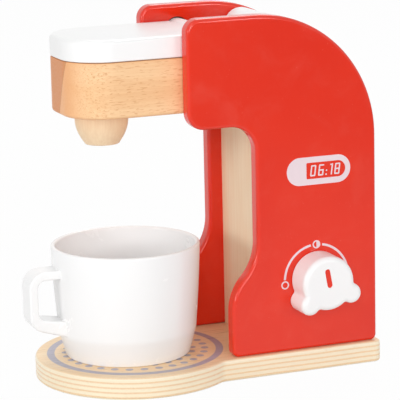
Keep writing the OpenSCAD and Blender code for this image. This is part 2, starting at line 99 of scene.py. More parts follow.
PANEL_EDGE = 2
HEAD_EDGE = 2
LID_EDGE = 2.4
KNOB_EDGE = 3
SOFT_EDGE = 1.5
FINE_EDGE = 0.8

# Holes: how far a cutter runs out past a face, the play round a fixed peg and round a turning
# one, and the pins, dowels and screws that the holes take. Spots are (Y, Z).

PAST = 1
PLAY = 0.04
TURNING_PLAY = 0.08
SEAT_R, SEAT_DEPTH = 7, 2.5
PEG_R = 3
PIN_DEPTH = 7.4
DOWEL_DEPTH, HEAD_DOWEL_DEPTH = 6.4, 11.4
HEAD_DOWELS = [(28.7, 162), (56, 162)]
OTHER_DOWELS = [(70.5, 40), (70.5, 110), (123, 40), (123, 110), (83, 142.5), (114.5, 142.5)]
TENON_R, TENON_LENGTH, SOCKET_DEPTH = 6, 6, 6.4
SCREW_R, SCREW_TOP = 1.75, 33
SCREW_HEAD_R, SCREW_HEAD_T = 3.5, 0.6
SCREW_X = 35
SCREW_YS = (52.8, 113.7)
WASHER_R, WASHER_SEAT = 6, 0.7
KNOB_SCREW_R, KNOB_SCREW_DEPTH = 2, 12.05

# ---- modelling by hand ---------------------------------------------------------------------


def edit_mode():
    bpy.ops.object.mode_set(mode='EDIT')


def object_mode():
    bpy.ops.object.mode_set(mode='OBJECT')


def nothing_selected():
    bpy.ops.object.select_all(action='DESELECT')


def only(piece):
    nothing_selected()
    piece.select_set(True)
    bpy.context.view_layer.objects.active = piece


def named(name):
    piece = bpy.context.object
    piece.name = piece.data.name = name
    return piece


def pick(kind, test):
    """Selects the vertices or edges of the piece in edit mode that pass the test."""
    bpy.ops.mesh.select_mode(type=kind)
    bpy.ops.mesh.select_all(action='DESELECT')
    mesh = bmesh.from_edit_mesh(bpy.context.object.data)
    for part in {'VERT': mesh.verts, 'EDGE': mesh.edges}[kind]:
        if test(part):
            part.select_set(True)
    mesh.select_flush_mode()
    bmesh.update_edit_mesh(bpy.context.object.data)


def near(metres, millimetres):
    """Whether a vertex lies at a place, to a hundredth of a millimetre."""
    return abs(metres - millimetres * MM) < 0.01 * MM


def single_vertex(name, spot):
    """A piece that starts as one vertex, left in edit mode and selected."""
    nothing_selected()
    bpy.ops.mesh.primitive_plane_add(size=MM, location=Vector(spot) * MM)
    piece = named(name)
    bpy.ops.object.transform_apply()
    edit_mode()
    bpy.ops.mesh.select_mode(type='VERT')
    bpy.ops.mesh.select_all(action='SELECT')
    bpy.ops.mesh.merge(type='CENTER')
    return piece


def block(name, low, high):
    """A box between two corners, left in edit mode."""
    low, high = Vector(low) * MM, Vector(high) * MM
    nothing_selected()
    bpy.ops.mesh.primitive_cube_add(size=1, location=(low + high) / 2, scale=high - low)
    bpy.ops.object.transform_apply()
    piece = named(name)
    edit_mode()
    return piece


def rod(middle, length, radius, sides, turn=(0, 0, 0)):
    """A round bar, along Z unless it is turned, in object mode."""
    nothing_selected()
    bpy.ops.mesh.primitive_cylinder_add(
        vertices=sides, radius=radius * MM, depth=length * MM, location=Vector(middle) * MM,
        rotation=turn)
    bpy.ops.object.transform_apply()
    return bpy.context.object


def rod_x(x0, x1, spot, radius, sides=48):
    """A round bar along X, centred on a (Y, Z) spot."""
    return rod(((x0 + x1) / 2, *spot), x1 - x0, radius, sides, (0, math.pi / 2, 0))


def rod_z(z0, z1, spot, radius, sides):
    """A round bar along Z, centred on an (X, Y) spot."""
    return rod((*spot, (z0 + z1) / 2), z1 - z0, radius, sides)


def modify(piece, kind, **settings):
    """Adds a modifier, sets it and applies it."""
    only(piece)
    bpy.ops.object.modifier_add(type=kind)
    modifier = piece.modifiers[-1]
    for key, value in settings.items():
        setattr(modifier, key, value)
    bpy.ops.object.modifier_apply(modifier=modifier.name)


def combine(piece, tools, operation):
    """Cuts the tools out of a piece, or melts them into it, and removes them."""
    for tool in tools:
        modify(piece, 'BOOLEAN', object=tool, operation=operation, solver='EXACT')
        bpy.data.objects.remove(tool)


def bevel_edges(test, radius, segments):
    """Rounds the edges of the piece in edit mode that pass the test."""
    pick('EDGE', test)
    bpy.ops.mesh.bevel(offset=radius * MM, segments=segments, profile=0.5,
                       affect='EDGES', clamp_overlap=False)


def round_rim(axis, level, radius, segments=5):
    """Rounds the edges round the flat face that lies at a level along an axis."""
    def on_rim(edge):
        if not all(near(vert.co[axis], level) for vert in edge.verts):
            return False
        flat = [abs(face.normal[axis]) > 0.99 for face in edge.link_faces]
        return any(flat) and not all(flat)
    bevel_edges(on_rim, radius, segments)


def upright_at(y):
    """Test for edges along Z at a place along Y."""
    def test(edge):
        a, b = (vert.co for vert in edge.verts)
        return (a - b).xy.length < 1e-6 and near(a.y, y)
    return test


def sines_cosines(*angles):
    """The sine and the cosine of each of some angles in degrees."""
    return [(math.sin(math.radians(a)), math.cos(math.radians(a))) for a in angles]


def polar(centre, radius, angle):
    """The point at an angle on a circle."""
    sine, cosine = sines_cosines(angle)[0]
    return centre + radius * Vector((cosine, sine))


def arc_steps(radius, turn):
    """Steps for an arc, more for a wider turn and a larger radius."""
    return max(6, math.ceil(abs(turn) * math.sqrt(radius) * 0.05))


def corner_arc(before, corner, after, radius):
    """The arc that rounds a corner of a path."""
    u = (before - corner).normalized()
    v = (after - corner).normalized()
    half = math.degrees(u.angle(v)) / 2
    turn = math.copysign(1, u.y * v.x - u.x * v.y)
    centre = corner + (u + v).normalized() * radius / math.sin(math.radians(half))
    start = math.degrees(math.atan2(turn * u.x, -turn * u.y))
    return centre, radius, start, start + turn * (180 - 2 * half)


def rounded(corners):
    """Arcs of a polygon given as (y, z, radius) corners."""
    points = [Vector(corner[:2]) for corner in corners]
    return [corner_arc(points[i - 1], points[i], points[(i + 1) % len(points)], corners[i][2])
            for i in range(len(points))]


def across(axis, level, point):
    """A point of an outline drawn across X (axis 0) or across Z (axis 2)."""
    return Vector((level, *point) if axis == 0 else (*point, level))


def trace(name, axis, level, arcs):
    """Draws an outline across an axis: one vertex is extruded to each arc's start and spun
    round its centre. The outline is left filled, in edit mode."""
    first = polar(*arcs[0][:3])
    pen = first
    piece = single_vertex(name, across(axis, level, pen))
    for centre, radius, start, end in arcs:
        move = polar(centre, radius, start) - pen
        if move.length > 0.01:
            bpy.ops.mesh.extrude_vertices_move(
                TRANSFORM_OT_translate={'value': across(axis, 0, move) * MM})
        bpy.ops.mesh.spin(steps=arc_steps(radius, end - start), angle=math.radians(start - end),
                          center=across(axis, level, centre) * MM, axis=across(axis, 1, (0, 0)))
        pen = polar(centre, radius, end)
    bpy.ops.mesh.select_all(action='SELECT')
    bpy.ops.mesh.remove_doubles(threshold=0.005 * MM)
    if (pen - first).length > 0.01:
        pick('VERT', lambda vert: len(vert.link_edges) == 1)
        bpy.ops.mesh.edge_face_add()
    bpy.ops.mesh.select_all(action='SELECT')
    bpy.ops.mesh.edge_face_add()
    return piece


def slab(name, level, arcs, length, low_r=0, high_r=0, segments=5, axis=0):
    """A slab from a level along an axis, on the arcs' outline, with its two rims rounded where
    they have a radius, in object mode."""
    piece = trace(name, axis, level, arcs)
    bpy.ops.mesh.extrude_region_move(
        TRANSFORM_OT_translate={'value': across(axis, length, (0, 0)) * MM})
    bpy.ops.mesh.select_all(action='SELECT')
    bpy.ops.mesh.normals_make_consistent(inside=False)
    if low_r:
        round_rim(axis, level, low_r, segments)
    if high_r:
        round_rim(axis, level + length, high_r, segments)
    object_mode()
    return piece


def lathe(name, centre, profile, steps):
    """Spins a profile of (radius, z) points round an upright axis, in object mode."""
    piece = single_vertex(name, (centre[0] + profile[0][0], centre[1], profile[0][1]))
    for (r0, z0), (r1, z1) in zip(profile, profile[1:]):
        bpy.ops.mesh.extrude_vertices_move(
            TRANSFORM_OT_translate={'value': Vector((r1 - r0, 0, z1 - z0)) * MM})
    bpy.ops.mesh.select_all(action='SELECT')
    bpy.ops.mesh.spin(steps=steps, angle=2 * math.pi,
                      center=Vector((centre[0], centre[1], 0)) * MM, axis=(0, 0, 1))
    bpy.ops.mesh.select_all(action='SELECT')
    bpy.ops.mesh.remove_doubles(threshold=0.005 * MM)
    bpy.ops.mesh.normals_make_consistent(inside=False)
    object_mode()
    return piece


def done(piece, body, slot, material, *nodes):
    """Shades a finished piece, gives it its material, hangs it on its body and hides the solids
    that it stands for. The slot's name is not used.
    """
    only(piece)
    bpy.ops.object.shade_smooth_by_angle(angle=math.radians(35))
    modify(piece, 'WEIGHTED_NORMAL', keep_sharp=True, weight=50)
    piece.data.materials.clear()
    piece.data.materials.append(material)
    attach(piece, body)
    if nodes:
        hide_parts(*nodes)


# ---- shader nodes --------------------------------------------------------------------------


def fill(tree, socket, value):
    """Links a socket to another node's, or sets it."""
    if isinstance(value, bpy.types.NodeSocket):
        tree.links.new(value, socket)
    else:
        socket.default_value = value


def put(tree, kind, inputs=None, **settings):
    """Adds a shader node, and sets or links its inputs."""
    made = tree.nodes.new(kind)
    for key, value in settings.items():
        setattr(made, key, value)
    for key, value in (inputs or {}).items():
        fill(tree, made.inputs[key], value)
    return made


def math_node(tree, operation, *values):
    made = put(tree, 'ShaderNodeMath', dict(enumerate(values)), operation=operation)
    return made.outputs[0]


def times(tree, a, b):
    return math_node(tree, 'MULTIPLY', a, b)


def minus(tree, a, b):
    return math_node(tree, 'SUBTRACT', a, b)


def size_of(tree, value):
    return math_node(tree, 'ABSOLUTE', value)


def length_of(tree, a, b):
    """The distance that lies a one way and b the other."""
    return math_node(tree, 'SQRT', math_node(tree, 'ADD', times(tree, a, a), times(tree, b, b)))


def noise(tree, vector, scale, detail, roughness, distortion=0):
    made = put(tree, 'ShaderNodeTexNoise', {
        'Vector': vector, 'Scale': scale, 'Detail': detail, 'Roughness': roughness,
        'Distortion': distortion})
    return made.outputs['Fac']


def window(tree, value, low, high):
    """Maps a value from low..high smoothly to 0..1, clamped."""
    made = put(tree, 'ShaderNodeMapRange', {
        'Value': value, 'From Min': low, 'From Max': high}, interpolation_type='SMOOTHSTEP')
    return made.outputs['Result']


def between(tree, value, low, high):
    """Maps a value from 0..1 to low..high."""
    made = put(tree, 'ShaderNodeMapRange', {'Value': value, 'To Min': low, 'To Max': high})
    return made.outputs['Result']


def blend_colour(tree, share, base, over):
    """Lays a colour over another by a share from 0 to 1."""
    made = tree.nodes.new('ShaderNodeMix')
    made.data_type = 'RGBA'
    fill(tree, made.inputs[0], share)
    for socket, value in ((made.inputs[6], base), (made.inputs[7], over)):
        fill(tree, socket, (*value, 1) if isinstance(value, tuple) else value)
    return made.outputs[2]


def bump(tree, height, strength, distance, **normal):
    """A Bump node, on top of another one's Normal where that is given."""
    return put(tree, 'ShaderNodeBump', {
        'Height': height, 'Strength': strength, 'Distance': distance,
        **normal}).outputs['Normal']


def object_spot(tree):
    return put(tree, 'ShaderNodeTexCoord').outputs['Object']


def split(tree, vector):
    return put(tree, 'ShaderNodeSeparateXYZ', {'Vector': vector}).outputs


def facing(tree, axis):
    """How far the surface faces along an axis, either way, from 0 to 1."""
    normal = put(tree, 'ShaderNodeNewGeometry').outputs['True Normal']
    return size_of(tree, split(tree, normal)[axis])


def place(tree, turn=(0, 0, 0), scale=(1, 1, 1)):
    """Object coordinates, turned or stretched for a piece."""
    made = put(tree, 'ShaderNodeMapping', {
        'Vector': object_spot(tree), 'Rotation': [math.radians(a) for a in turn],
        'Scale': scale})
    return made.outputs['Vector']


# ---- effects that finishes share -------------------------------------------------------------

# A group's input is given as its kind and its value where nothing else is set.

VECTOR = ('NodeSocketVector', None)


def number(value):
    return 'NodeSocketFloat', value


def group(name, inputs, outputs):
    """A node group with named sockets; gives back the tree and its input and output nodes."""
    tree = bpy.data.node_groups.new(name, 'ShaderNodeTree')
    for key, (kind, value) in inputs.items():
        socket = tree.interface.new_socket(name=key, in_out='INPUT', socket_type=kind)
        if value is not None:
            socket.default_value = value
    for key in outputs:
        tree.interface.new_socket(name=key, in_out='OUTPUT', socket_type='NodeSocketFloat')
    return tree, tree.nodes.new('NodeGroupInput').outputs, tree.nodes.new('NodeGroupOutput')


def give(tree, last, **values):
    for key, value in values.items():
        tree.links.new(value, last.inputs[key])


def use(tree, grouped, inputs):
    return put(tree, 'ShaderNodeGroup', inputs, node_tree=grouped).outputs


def wood_figure():
    """Timber whose grain runs along the vector's X: broad growth bands, fine fibres and the
    short dark flecks that beech and birch show."""
    tree, given, last = group('Wood figure', {
        'Vector': VECTOR, 'Band scale': number(60), 'Fibre scale': number(900),
        'Fleck scale': number(420), 'Fleck share': number(0.5)}, ('Bands', 'Fibre', 'Flecks'))

    def stretched(along):
        return put(tree, 'ShaderNodeVectorMath', {
            0: given['Vector'], 1: (along, 1, 1)}, operation='MULTIPLY').outputs[0]

    bands = noise(tree, stretched(0.12), given['Band scale'], 2, 0.5, 0.6)
    fibre = noise(tree, stretched(0.03), given['Fibre scale'], 2, 0.6)
    flecks = noise(tree, stretched(0.14), given['Fleck scale'], 1.5, 0.5, 0.3)
    rarest = minus(tree, 0.78, times(tree, given['Fleck share'], 0.22))
    solid = math_node(tree, 'ADD', rarest, 0.06)
    give(tree, last, Bands=window(tree, bands, 0.3, 0.7), Fibre=window(tree, fibre, 0.3, 0.7),
         Flecks=window(tree, flecks, rarest, solid))
    return tree


def lacquer_film():
    """What a sprayed coat shows: a slow drift of tone, orange peel, and rubbed places."""
    tree, given, last = group('Lacquer film', {
        'Vector': VECTOR, 'Peel scale': number(380), 'Rub scale': number(45)},
        ('Tone', 'Peel', 'Rub'))
    tone = noise(tree, given['Vector'], 14, 2, 0.5)
    peel = noise(tree, given['Vector'], given['Peel scale'], 2, 0.5)
    rub = noise(tree, given['Vector'], given['Rub scale'], 5, 0.7, 0.5)
    give(tree, last, Tone=window(tree, tone, 0.3, 0.7), Peel=peel,
         Rub=window(tree, rub, 0.45, 0.75))
    return tree


def handling():
    """Fine hairline scuffs and specks of dust from play."""
    tree, given, last = group('Handling', {
        'Vector': VECTOR, 'Speck scale': number(700)}, ('Scuffs', 'Specks'))
    lines = put(tree, 'ShaderNodeTexWave', {
        'Vector': given['Vector'], 'Scale': 60, 'Distortion': 18, 'Detail': 3,
        'Detail Scale': 1.5}, wave_type='BANDS', bands_direction='DIAGONAL')
    cloud = noise(tree, given['Vector'], 30, 3, 0.6)
    scuffs = times(tree, window(tree, lines.outputs['Fac'], 0.985, 1),
                   window(tree, cloud, 0.5, 0.65))
    specks = window(tree, noise(tree, given['Vector'], given['Speck scale'], 1, 0.5), 0.74, 0.8)
    give(tree, last, Scuffs=scuffs, Specks=specks)
    return tree


WOOD = wood_figure()
FILM = lacquer_film()
MARKS = handling()

# ---- finishes ------------------------------------------------------------------------------

# The hinge seats' bare wood, darkened nearly to black as painted shade.
SEAT_BARE_WOOD_AND_SHADE = (0.10, 0.05, 0.03)
BEECH_FLECK = (0.66, 0.28, 0.10)
# A darker colour for faces turned away from X: end grain, and painted shade on the side turned
# from the light.
BEECH_END_GRAIN_AND_SHADE = (0.88, 0.42, 0.18)
BEECH_STRIP = (0.66, 0.24, 0.075)
BEECH_SEAM = (0.50, 0.25, 0.10)
PLY_LIGHT = (0.99, 0.92, 0.73)
PLY_DARK, PLY_DARKEST = (0.92, 0.63, 0.35), (0.84, 0.52, 0.26)
DRIP_INK = (0.37, 0.36, 0.46)
ZINC, ZINC_RUBBED = (0.62, 0.62, 0.62), (0.50, 0.49, 0.48)

PLIES = 9
SEAM_X, SEAM_Z, SEAM_LEAN = 0.0075, 0.162, 0.4
DRIP_RING_R = 0.04655
DRIP_ROWS = ((0.0384, 30, 95.6), (0.0315, 24, 74.4))    # radius, dots, first dot's angle


def new_material(name):
    material = bpy.data.materials.new(name)
    material.use_nodes = True
    tree = material.node_tree
    tree.nodes.clear()
    shader = tree.nodes.new('ShaderNodeBsdfPrincipled')
    end = tree.nodes.new('ShaderNodeOutputMaterial')
    tree.links.new(shader.outputs[0], end.inputs[0])
    return material, tree, shader


def finish_shader(tree, shader, colour, roughness, normal, **constants):
    tree.links.new(colour, shader.inputs['Base Color'])
    tree.links.new(roughness, shader.inputs['Roughness'])
    tree.links.new(normal, shader.inputs['Normal'])
    for key, value in constants.items():
        shader.inputs[key.replace('_', ' ')].default_value = value


def hinge_seat_shade(tree, colour):
    """The round seats of the lid's hinge ends are bored after spraying and show bare wood,
    painted nearly black as the shade in the gap round the hinge barrel.
    """
    spot = object_spot(tree)
    flat = put(tree, 'ShaderNodeVectorMath', {0: spot, 1: (0, 1, 1)}, operation='MULTIPLY')
    away = put(tree, 'ShaderNodeVectorMath', {
        0: flat.outputs[0], 1: (0, HINGE.x * MM, HINGE.y * MM)}, operation='DISTANCE')
    wide = window(tree, away.outputs['Value'], (SEAT_R + 0.2) * MM, (SEAT_R + 0.05) * MM)
    floor = INNER_X + SEAT_DEPTH
    deep = window(tree, size_of(tree, split(tree, spot)['X']),
                  (floor + 0.4) * MM, (floor + 0.1) * MM)
    return blend_colour(tree, times(tree, wide, deep), colour, SEAT_BARE_WOOD_AND_SHADE)


def lacquer(name, deep, light, worn, rough, specular, peel=0.12, extra=None):
    """A sprayed coat over wood, from its deep to its light tone, paler where rubbed; extra
    may repaint the colour."""
    material, tree, shader = new_material(name)
    spot = place(tree)
    film = use(tree, FILM, {'Vector': spot})
    marks = use(tree, MARKS, {'Vector': spot})
    wood = use(tree, WOOD, {'Vector': place(tree, (0, 90, 0)), 'Fibre scale': 500})
    tints = (times(tree, film['Rub'], 0.10), times(tree, marks['Scuffs'], 0.04),
             times(tree, marks['Specks'], 0.30))
    tint = math_node(tree, 'MAXIMUM', math_node(tree, 'MAXIMUM', *tints[:2]), tints[2])
    colour = blend_colour(tree, tint, blend_colour(tree, film['Tone'], deep, light), worn)
    if extra:
        colour = extra(tree, colour)
    dulled = math_node(tree, 'MAXIMUM', film['Rub'], times(tree, marks['Scuffs'], 0.4))
    normal = bump(tree, film['Peel'], peel, 0.0002)
    normal = bump(tree, wood['Fibre'], peel * 0.5, 0.0001, Normal=normal)
    finish_shader(tree, shader, colour, between(tree, dulled, *rough), normal,
                  Specular_IOR_Level=specular)
    return material


def timber(name, turn, pale, dark, fleck, bands=60, flecks=420, share=0.5,
           fleck_strength=0.5, rough=(0.42, 0.6), specular=0.35, extra=None):
    """Sanded wood under a clear coat, its grain turned from X; extra may repaint the colour
    from the wood's own figure."""
    material, tree, shader = new_material(name)
    spot = place(tree, turn)
    wood = use(tree, WOOD, {'Vector': spot, 'Band scale': bands, 'Fleck scale': flecks,
                            'Fleck share': share})
    marks = use(tree, MARKS, {'Vector': spot})
    colour = blend_colour(tree, wood['Bands'], pale, dark)
    colour = blend_colour(tree, times(tree, wood['Fibre'], 0.22), colour, fleck)
    colour = blend_colour(tree, times(tree, wood['Flecks'], fleck_strength), colour, fleck)
    if extra:
        colour = extra(tree, colour, wood)
    colour = blend_colour(tree, times(tree, marks['Specks'], 0.25), colour, fleck)
    dents = math_node(tree, 'ADD', wood['Fibre'], wood['Flecks'])
    finish_shader(tree, shader, colour, between(tree, wood['Fibre'], *rough),
                  bump(tree, dents, 0.15, 0.0002), Specular_IOR_Level=specular)
    return material


def lamella(tree, colour, wood):
    """The head is glued up of two strips; the seam and the darker strip show at its nose, and
    its sides carry the flecks. Every face turned away from X, nose, top, bottom and rear, takes
    a darker colour: end grain at the nose, and painted shade where the nose turns from the
    light."""
    parts = split(tree, object_spot(tree))
    lean = times(tree, minus(tree, parts['Z'], SEAM_Z), SEAM_LEAN)
    past_seam = minus(tree, parts['X'], math_node(tree, 'ADD', lean, SEAM_X))
    strip = window(tree, past_seam, 0.0002, -0.0002)
    seam = window(tree, size_of(tree, past_seam), 0.0004, 0.00005)
    sideways = facing(tree, 'X')
    flecks = times(tree, wood['Flecks'], window(tree, sideways, 0.3, 0.8))
    # Faces turned from X darken: end grain at the nose, and painted shade.
    for share, most, paint in (
            (flecks, 0.5, BEECH_FLECK), (window(tree, sideways, 0.9, 0.2), 0.75, BEECH_END_GRAIN_AND_SHADE),
            (strip, 0.85, BEECH_STRIP), (seam, 0.6, BEECH_SEAM)):
        colour = blend_colour(tree, times(tree, share, most), colour, paint)
    return colour


def drip_print(tree, colour, parts, top):
    """A ring and two rows of dots in thin grey-lilac ink, round the middle of the disc."""
    reach = length_of(tree, parts['X'], parts['Y'])
    angle = math_node(tree, 'ARCTAN2', parts['Y'], parts['X'])
    ink = window(tree, size_of(tree, minus(tree, reach, DRIP_RING_R)), 0.0022, 0.0019)
    for radius, count, first in DRIP_ROWS:
        step = 2 * math.pi / count
        turned = math_node(tree, 'ADD', angle, 2 * math.pi + step / 2 - math.radians(first))
        off = minus(tree, math_node(tree, 'MODULO', turned, step), step / 2)
        away = length_of(tree, times(tree, off, radius), minus(tree, reach, radius))
        ink = math_node(tree, 'MAXIMUM', ink, window(tree, away, 0.0022, 0.0020))
    return blend_colour(tree, times(tree, times(tree, ink, top), 0.92), colour, DRIP_INK)


def plies(tree, colour, wood):
    """The plies at the stand's edge, and the printed drip ring and dots on its top."""
    spot = object_spot(tree)
    parts = split(tree, spot)
    wobble = times(tree, minus(tree, noise(tree, spot, 25, 2, 0.5), 0.5), 0.0009)
    layer = math_node(tree, 'DIVIDE', math_node(tree, 'ADD', parts['Z'], wobble),
                      BASE_T * MM / PLIES)
    crosswise = window(tree, math_node(tree, 'PINGPONG', layer, 1), 0.5, 0.85)
    pores = window(tree, noise(tree, spot, 1500, 1, 0.5), 0.35, 0.65)
    side = window(tree, facing(tree, 'Z'), 0.97, 0.8)
    colour = blend_colour(tree, times(tree, side, 0.7), colour, PLY_LIGHT)
    colour = blend_colour(tree, times(tree, crosswise, times(tree, side, 0.75)), colour,
                          blend_colour(tree, pores, PLY_DARK, PLY_DARKEST))
    top = times(tree, minus(tree, 1, side),
                window(tree, parts['Z'], (BASE_T - 0.7) * MM, (BASE_T - 0.3) * MM))
    return drip_print(tree, colour, parts, top)


def metal(name):
    """Zinc-plated steel, lightly brushed round."""
    material, tree, shader = new_material(name)
    grain = noise(tree, place(tree, scale=(1, 1, 12)), 900, 3, 0.6)
    film = use(tree, FILM, {'Vector': place(tree), 'Rub scale': 120})
    colour = blend_colour(tree, film['Rub'], ZINC, ZINC_RUBBED)
    finish_shader(tree, shader, colour, between(tree, grain, 0.25, 0.45),
                  bump(tree, grain, 0.1, 0.0001), Metallic=1.0)
    return material


ALONG_Y, ALONG_Z = (0, 0, 90), (0, 90, 0)

# The red coat paints shade into the hinge seats.
RED = lacquer('red_lacquer', (0.76, 0.022, 0.004), (0.80, 0.028, 0.006), (0.87, 0.14, 0.09),
              (0.14, 0.24), 0.50, extra=hinge_seat_shade)
WHITE = lacquer('white_lacquer', (0.92, 0.92, 0.915), (0.94, 0.94, 0.94), (0.89, 0.88, 0.86),
                (0.30, 0.34), 0.45, peel=0.02)
MUG_WHITE = lacquer('mug_white', (0.945, 0.945, 0.945), (0.955, 0.955, 0.955),
                    (0.92, 0.91, 0.90), (0.24, 0.29), 0.5, peel=0.015)
PRINT = lacquer('print_white', (0.79, 0.64, 0.69), (0.84, 0.70, 0.74), (0.80, 0.50, 0.46),
                (0.35, 0.5), 0.3, peel=0.04)
BEECH = timber('beech', ALONG_Y, (0.95, 0.63, 0.35), (0.90, 0.55, 0.28), (0.70, 0.31, 0.12),
               bands=70, flecks=1700, share=0.85, fleck_strength=0.15, rough=(0.34, 0.5),
               specular=0.45, extra=lamella)
PALE = timber('pale_wood', ALONG_Z, (0.94, 0.72, 0.48), (0.91, 0.65, 0.41),
              (0.76, 0.48, 0.27), share=0.2, fleck_strength=0.25)
BOARD = timber('birch_board', ALONG_Z, (0.98, 0.83, 0.60), (0.96, 0.77, 0.53),
               (0.80, 0.52, 0.30), bands=45, share=0.2, fleck_strength=0.3)
PLY = timber('birch_ply', ALONG_Y, (0.94, 0.75, 0.50), (0.90, 0.66, 0.40),
             (0.74, 0.44, 0.22), bands=50, share=0.3, fleck_strength=0.3,
             rough=(0.26, 0.40), specular=0.5, extra=plies)
DOWEL = timber('dowel_wood', (0, 0, 0), (0.80, 0.58, 0.36), (0.72, 0.48, 0.27),
               (0.50, 0.28, 0.12))
STEEL = metal('steel')

# ---- side panels ---------------------------------------------------------------------------


def panel_arcs():
    """The foot, the great round at the back, the arm, the mug bay and the S-curve below it,
    whose two bends nearly meet at mid-height."""
    rise = CURVE_TOP - CURVE_LOW
    run = COLUMN_Y - FOOT_Y
    bend = 2 * math.atan2(run, rise)
    radius = rise / math.sin(bend) / 2
    reach = radius * math.tan(bend / 2)
    curve_r = 0.97 * radius
    return rounded([
        (FOOT_Y, BASE_T, FOOT_R), (BACK_Y, BASE_T, FOOT_R), (BACK_Y, TOP_Z, BACK_R),
        (ARM_Y, TOP_Z, ARM_TOP_R), (ARM_Y, ARM_Z, ARM_LOW_R), (COLUMN_Y, ARM_Z, BAY_R),
        (COLUMN_Y, CURVE_TOP - reach, curve_r), (FOOT_Y, CURVE_LOW + reach, curve_r)])


def side_panel(name, side, node):
    """One panel; side is 1 on the knob's side and -1 on the other."""
    low = INNER_X if side > 0 else -OUTER_X
    piece = slab(name, low, panel_arcs(), OUTER_X - INNER_X, PANEL_EDGE, PANEL_EDGE, 6)
    face = side * INNER_X

    def bore(depth, spot, radius):
        ends = sorted((face - side * PAST, face + side * depth))
        return rod_x(*ends, spot, radius)

    bores = [bore(SEAT_DEPTH, HINGE, SEAT_R), bore(PIN_DEPTH, HINGE, PEG_R + PLAY)]
    bores += [bore(DOWEL_DEPTH, spot, PEG_R + PLAY) for spot in HEAD_DOWELS + OTHER_DOWELS]
    bores += [rod_z(SCREW_HEAD_T, SCREW_TOP, (side * SCREW_X, y), SCREW_R + PLAY, 32)
              for y in SCREW_YS]
    if side > 0:
        bores.append(rod_x(INNER_X - 1.5, OUTER_X + 1.5, KNOB, KNOB_SCREW_R + TURNING_PLAY))
    combine(piece, bores, 'DIFFERENCE')
    done(piece, 'machine', 'red_lacquer', RED, node)


side_panel('knob_side_panel', 1, 'right_panel')
side_panel('far_side_panel', -1, 'left_panel')

# ---- stand ---------------------------------------------------------------------------------


def stand_arcs():
    """A disc, hollow waists, and a straight tongue with rounded rear corners."""
    corner, out = TONGUE_CORNER, TONGUE_HALF + WAIST_R
    waist_y = math.sqrt((DISC_R + WAIST_R) ** 2 - out ** 2)
    lean = math.degrees(math.atan2(waist_y, out))
    rear, edge = REAR_Y - corner, TONGUE_HALF - corner
    return [(Vector((edge, rear)), corner, 0, 90), (Vector((-edge, rear)), corner, 90, 180),
            (Vector((-out, waist_y)), WAIST_R, 0, -lean),
            (Vector((0, 0)), DISC_R, 180 - lean, 360 + lean),
            (Vector((out, waist_y)), WAIST_R, 180 + lean, 180)]


def stand():
    """The plywood stand with its four countersunk screw holes from below."""
    piece = slab('stand', 0, stand_arcs(), BASE_T, SOFT_EDGE, SOFT_EDGE, axis=2)
    head, shank, top = SCREW_HEAD_R + PLAY, SCREW_R + PLAY, BASE_T + PAST
    sunk = [(0, -PAST), (head, -PAST), (head, SCREW_HEAD_T),
            (shank, SCREW_HEAD_T + head - shank), (shank, top), (0, top)]
    holes = [lathe('hole', (side * SCREW_X, y), sunk, 32)
             for side in (-1, 1) for y in SCREW_YS]
    combine(piece, holes, 'DIFFERENCE')
    done(piece, 'machine', 'birch_ply', PLY, 'base_plate')


stand()

# ---- brewing head and lid ------------------------------------------------------------------


def head_block():
    """The beech block, round at its nose, with the pod well, the spout's socket and the
    dowels' holes."""
    piece = block('brewing_head', (-INNER_X, HEAD_FRONT, HEAD_Z),
                  (INNER_X, HEAD_REAR, HEAD_TOP))
    bevel_edges(upright_at(HEAD_FRONT), NOSE_R, 28)
    round_rim(2, HEAD_Z, HEAD_EDGE, 6)
    round_rim(2, HEAD_TOP, FINE_EDGE, 3)
    object_mode()
    well = rod_z(HEAD_TOP - WELL_DEPTH, HEAD_TOP + PAST, (0, SPOUT_Y), WELL_R, 96)
    socket = rod_z(HEAD_Z - PAST, HEAD_Z + SOCKET_DEPTH, (0, SPOUT_Y), TENON_R + PLAY, 48)
    bores = [rod_x(*sorted((side * (INNER_X - HEAD_DOWEL_DEPTH), side * (INNER_X + PAST))),
                   spot, PEG_R + PLAY) for side in (-1, 1) for spot in HEAD_DOWELS]
    combine(piece, [well, socket] + bores, 'DIFFERENCE')
    done(piece, 'machine', 'beech', BEECH, 'head_block')


def spout():
    """A turned nozzle whose side draws in along one curve and ends in a small round foot,
    with its tenon above."""
    root_r, belly_r, tip_r, length = 14, 16, 9, 17.5
    stop, steps = 0.95, 18
    foot_r, foot_slope, foot_t = 0.9, 0.25, 0.875

    def radius(part):
        return (root_r * (1 - part) ** 2 + 2 * belly_r * part * (1 - part)
                + tip_r * part ** 2)

    side = [(radius(stop * i / steps), HEAD_Z - length * stop * i / steps)
            for i in range(steps + 1)]
    low_r, low_z = side[-1]
    foot = [(low_r - foot_r * (1 - cosine) - foot_slope * part, low_z - foot_t * sine)
            for part, (sine, cosine) in zip((1 / 3, 2 / 3, 1), sines_cosines(30, 60, 90))]
    peg_top = HEAD_Z + TENON_LENGTH
    tenon = [(0, peg_top), (TENON_R - 0.3, peg_top), (TENON_R, peg_top - 0.3),
             (TENON_R, HEAD_Z)]
    piece = lathe('turned_spout', (0, SPOUT_Y), tenon + side + foot + [(0, foot[-1][1])], 96)
    done(piece, 'machine', 'pale_wood', PALE, 'spout')


